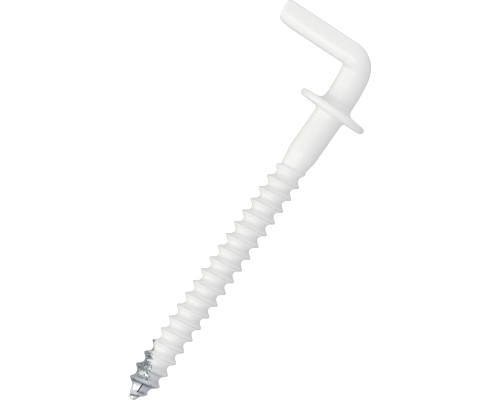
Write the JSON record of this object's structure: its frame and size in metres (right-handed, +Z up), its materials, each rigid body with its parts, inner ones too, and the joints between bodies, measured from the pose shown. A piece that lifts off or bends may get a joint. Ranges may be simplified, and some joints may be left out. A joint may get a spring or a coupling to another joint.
{
  "type": "screw hook",
  "caption": "Coated screw hook: a square-bent, grooved flat arm on a round stem, a collar, a smooth shank and a coarse wood-screw thread whose coating is worn off at the tip.",
  "frame": {"origin": "centre of the collar's seat, which is its flat face towards the thread, on the screw's axis", "axes": "+Z up from the level surface that the hook lies on, +Y level and towards the hook end below which the screw's axis slopes 3.6 degrees down to the tip, -X the way the arm points, with its end rolled 11.4 degrees down to the surface"},
  "size_m": [0.0354, 0.1057, 0.0189],
  "materials": {
    "white_coat": "thick glossy white coating on zinc-plated steel, worn down to the bare zinc at the screw's tip"
  },
  "bodies": {
    "root": {"screw_hook": "white_coat"}
  },
  "joints": []
}
